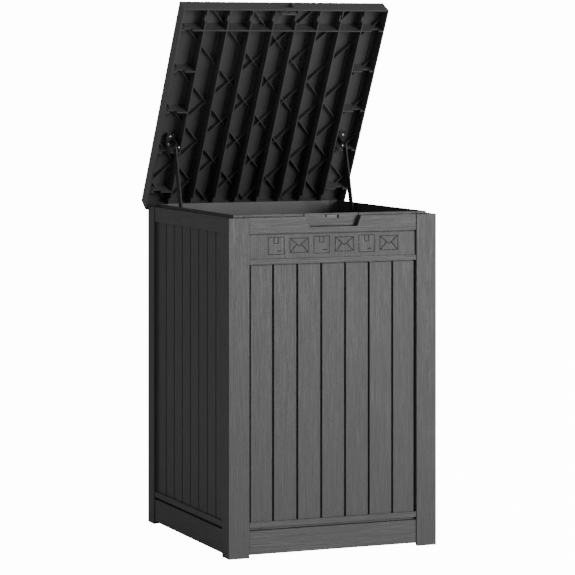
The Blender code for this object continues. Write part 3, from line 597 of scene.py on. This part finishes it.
def seat_ribs(ribs, shift, bars):
    """Leave out the ribs where the stay brackets sit, trim the rest to the inside of the lid's
    skirts, and turn them open with the lid."""
    bm = bmesh.new()
    bm.from_mesh(ribs.data)
    bm.transform(Matrix.Translation(shift))
    bm.verts.ensure_lookup_table()
    corners = len(bm.verts) // bars
    blocked = []
    for bar in range(bars):
        own = bm.verts[bar * corners:(bar + 1) * corners]
        ends = [end(own, key=lambda vertex: vertex.co.y).co for end in (min, max)]
        if any(low[0] < spot.x < high[0] and low[1] < spot.y < high[1]
               for low, high in stay_places
               for spot in (ends[0].lerp(ends[1], step / BRACKET_TESTS)
                            for step in range(BRACKET_TESTS + 1))):
            blocked += own
    bmesh.ops.delete(bm, geom=blocked, context="VERTS")
    for place, outwards in ((lid_low.y + LID_WALL, -1), (lid_high.y - LID_WALL, 1)):
        cut = bmesh.ops.bisect_plane(bm, geom=bm.verts[:] + bm.edges[:] + bm.faces[:],
                                     plane_co=(0, place, 0), plane_no=(0, outwards, 0),
                                     clear_outer=True)["geom_cut"]
        bmesh.ops.holes_fill(bm, edges=[edge for edge in cut
                                        if isinstance(edge, bmesh.types.BMEdge)])
    bm.transform(opened)
    bm.to_mesh(ribs.data)
    bm.free()
    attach(ribs, "lid")


lattice = lattice_tree()
ceiling = lid_high.z - LID_WALL
cross_y = lid_low.y + CROSS_RIB_FROM_FRONT
slant = atan(LATTICE_FALL)
bar_size = (cell * (1 + LATTICE_FALL ** 2) ** 0.5 - LATTICE_THICKNESS / 2, LATTICE_THICKNESS,
            LATTICE_HEIGHT)
for family, hand in (("falling", 1), ("rising", -1)):
    ribs = grow(rib_bar(family + "_lattice_ribs", bar_size, slant), lattice,
                Columns=CELLS, Rows=LATTICE_ROWS, Column_Pitch=cell,
                Row_Pitch=LATTICE_PITCH * cell, Fall=LATTICE_FALL * cell,
                Start=(LATTICE_START - LATTICE_FALL / 2) * cell, Finish=lid_resin)
    shift = Matrix.Translation((-(CELLS - 1) / 2 * cell, 0, 0))
    ribs.data.transform(Matrix.Diagonal((hand, 1, 1, 1)) @ shift)
    if hand < 0:
        ribs.data.flip_normals()
    seat_ribs(ribs, (0, cross_y - LATTICE_BEFORE_FIRST * LATTICE_PITCH * cell,
                     ceiling - LATTICE_HEIGHT / 2 + SUNK), CELLS * LATTICE_ROWS)

ridge_length = (lid_high.y - cross_y - LID_WALL
                - RIDGE_SHORT_OF_CROSS_RIB - RIDGE_SHORT_OF_BACK)
ridge_size = (RIDGE_THICKNESS, ridge_length, RIDGE_HEIGHT)
ridges = grow(rib_bar("long_rib_ridges", ridge_size, 0), lattice, Columns=CELLS, Rows=1,
              Column_Pitch=cell, Row_Pitch=1.0, Fall=0.0, Start=ridge_length / 2,
              Finish=lid_resin)
seat_ribs(ridges, (-(CELLS / 2 - 1) * cell - RIDGE_FROM_RIB, cross_y + RIDGE_SHORT_OF_CROSS_RIB,
                   ceiling - RIDGE_HEIGHT / 2 + SUNK), CELLS)

# ---------------------------------------------------------------- lock tab
# A resin tab is screwed inside the lid's front skirt and hangs below its rim. Its hole meets the
# lock window when the lid is shut.
mesh = merged_copy("lock_tab")
mesh.materials.append(lock_resin)
carry(softened("lid_lock_tab", mesh, SMALL_ROUNDING), "lid", "lock_resin", "lock_tab")

# ---------------------------------------------------------------- lid stays
# On each side a nylon arm runs from a bracket under the lid to a slotted track on the side wall.
# Its slider pin runs down the slot as the lid shuts, and the slot's end holds the lid open.
nylon = moulded("black_nylon_moulding", (0.014, 0.014, 0.015), roughness=0.62, strength=0.20)
for hand in ("left", "right"):
    for node, body, rounding in (("stay_track_", "box", POST_ROUNDING),
                                 ("stay_bracket_", "lid", SMALL_ROUNDING),
                                 ("stay_arm_", "stay_" + hand, SMALL_ROUNDING)):
        mesh = merged_copy(node + hand)
        mesh.materials.append(nylon)
        carry(softened(node + hand + "_moulding", mesh, rounding), body, "black_nylon",
              node + hand)

# ---------------------------------------------------------------- steel pins
# The lid turns on two zinc-plated steel pins in the back rail, and each stay on a headed pin.
PIN_ROUNDING = 0.0003
steel, steel_shader, maths = new_material("zinc_plated_steel", metallic=1.0)
place = maths.node("ShaderNodeTexCoord", output="Object")
spangle = maths.node("ShaderNodeTexNoise", sockets={
    "Vector": place, "Scale": 420.0, "Detail": 3.0})
haze = maths.node("ShaderNodeTexNoise", sockets={"Vector": place, "Scale": 90.0, "Detail": 2.0})
zinc = maths.node("ShaderNodeMix", {"data_type": "RGBA"}, {
    0: haze, 6: (0.50, 0.51, 0.52, 1), 7: (0.68, 0.68, 0.66, 1)}, output=2)
feed(steel_shader, Base_Color=zinc, Roughness=0.26 + spangle * 0.2,
     Normal=maths.node("ShaderNodeBump", sockets={
         "Strength": 0.15, "Distance": 0.0001, "Height": spangle}))

for node, body in (("hinge_pin_left", "box"), ("hinge_pin_right", "box"),
                   ("stay_pivot_left", "lid"), ("stay_pivot_right", "lid")):
    mesh = merged_copy(node)
    mesh.materials.append(steel)
    carry(softened(node + "_turned", mesh, PIN_ROUNDING), body, "zinc_steel", node)

# ---------------------------------------------------------------- screws
# Pan-head screws with a cross recess hold the tracks, the stay brackets and the lock tab. Each
# kind of screw is turned once, and its copies are set where the screws go.
SHANK_RADIUS = 0.0016
PAN_RADIUS = 0.0035
PAN_HEIGHT = 0.0022
RECESS_DEPTH = 0.0011
RECESS_WIDTH = 0.0008
RECESS_TAPER = 0.62
RECESS_LENGTH = PAN_RADIUS * 1.05
PAN_OUTLINE = ((0, 0), (0.55, 0.04), (0.82, 0.18), (0.97, 0.48), (1, 0.70), (1, 1))


def pan_head_screw(length):
    """A screw along Z with its head's top at zero, its recess cut by two crossed wedges."""
    bm = bmesh.new()
    profile = [(PAN_RADIUS * out, -PAN_HEIGHT * down) for out, down in PAN_OUTLINE]
    profile += [(SHANK_RADIUS, -PAN_HEIGHT), (SHANK_RADIUS, SHANK_RADIUS - length), (0, -length)]
    points = [bm.verts.new((radius, 0, height)) for radius, height in profile]
    edges = [bm.edges.new(pair) for pair in zip(points, points[1:])]
    bmesh.ops.spin(bm, geom=points + edges, cent=(0, 0, 0), axis=(0, 0, 1), angle=2 * pi,
                   steps=28, use_merge=True)
    bmesh.ops.remove_doubles(bm, verts=bm.verts, dist=1e-6)
    bmesh.ops.recalc_face_normals(bm, faces=bm.faces)
    mesh = bpy.data.meshes.new("pan_head")
    bm.to_mesh(mesh)
    bm.free()
    mesh.shade_smooth()
    mesh.set_sharp_from_angle(angle=radians(50))
    head = add_object("pan_head", mesh)
    wedges = []
    for turn in (0, pi / 2):
        bm = bmesh.new()
        bmesh.ops.create_cube(bm, size=1, matrix=Matrix.Rotation(turn, 4, "Z")
                              @ Matrix.Diagonal((RECESS_LENGTH, RECESS_WIDTH, 2 * RECESS_DEPTH, 1)))
        for vertex in bm.verts:
            if vertex.co.z < 0:
                vertex.co.xy *= RECESS_TAPER
        wedge = bpy.data.meshes.new("recess_wedge")
        bm.to_mesh(wedge)
        bm.free()
        tool = add_object("recess_wedge", wedge)
        cut = head.modifiers.new("recess", "BOOLEAN")
        cut.object = tool
        cut.solver = "EXACT"
        wedges.append(tool)
    finished = plain_mesh(head)
    head.modifiers.clear()
    head.data = finished
    for tool in wedges:
        bpy.data.objects.remove(tool)
    return head


def screw_tree():
    """Geometry Nodes that set a screw at each place, along the place's facing."""
    tree, nodes, links, given = open_tree("screw_copies", ("Places", "Geometry"),
                                          ("Screw", "Object"))
    screw = nodes.new("GeometryNodeObjectInfo")
    facing = nodes.new("GeometryNodeInputNamedAttribute")
    facing.data_type = "FLOAT_VECTOR"
    facing.inputs["Name"].default_value = "facing"
    aim = nodes.new("FunctionNodeAlignRotationToVector")
    aim.axis = "Z"
    copies = nodes.new("GeometryNodeInstanceOnPoints")
    links.new(given.outputs["Screw"], screw.inputs["Object"])
    links.new(facing.outputs["Attribute"], aim.inputs["Vector"])
    links.new(given.outputs["Places"], copies.inputs["Points"])
    links.new(screw.outputs["Geometry"], copies.inputs["Instance"])
    links.new(aim.outputs["Rotation"], copies.inputs["Rotation"])
    return close_tree(tree, "Screws", given, copies.outputs["Instances"])


def screw_place(node, axis, back_to_shut):
    """The middle of a screw's head, the way the head faces, and its length, from its CAD node."""
    mesh = merged_copy(node)
    mesh.transform(back_to_shut)
    low, high = extent(mesh)
    middle = (low + high) / 2
    wide = [vertex.co[axis] for vertex in mesh.vertices
            if sum((vertex.co[index] - middle[index]) ** 2 for index in range(3)
                   if index != axis) > (PAN_RADIUS * 0.8) ** 2]
    bpy.data.meshes.remove(mesh)
    facing = Vector((0, 0, 0))
    facing[axis] = 1 if sum(wide) / len(wide) > middle[axis] else -1
    middle[axis] = high[axis] if facing[axis] > 0 else low[axis]
    return middle, facing, high[axis] - low[axis]


copies = screw_tree()
for kind, body, axis, pose in (("track_screw", "box", 0, Matrix.Identity(4)),
                               ("bracket_screw", "lid", 2, opened),
                               ("tab_screw", "lid", 1, opened)):
    screws = sorted(node for node in frame["nodes"] if node.startswith(kind))
    places = [screw_place(node, axis, pose.inverted()) for node in screws]
    mesh = bpy.data.meshes.new(kind + "_places")
    mesh.from_pydata([pose @ middle for middle, facing, length in places], [], [])
    facings = mesh.attributes.new("facing", "FLOAT_VECTOR", "POINT")
    for index, (middle, facing, length) in enumerate(places):
        facings.data[index].vector = pose.to_3x3() @ facing
    holder = add_object(kind + "s", mesh)
    head = pan_head_screw(places[0][2])
    finished = grow(holder, copies, Screw=head, Finish=steel)
    bpy.data.objects.remove(head)
    carry(finished, body, "zinc_steel", *screws)
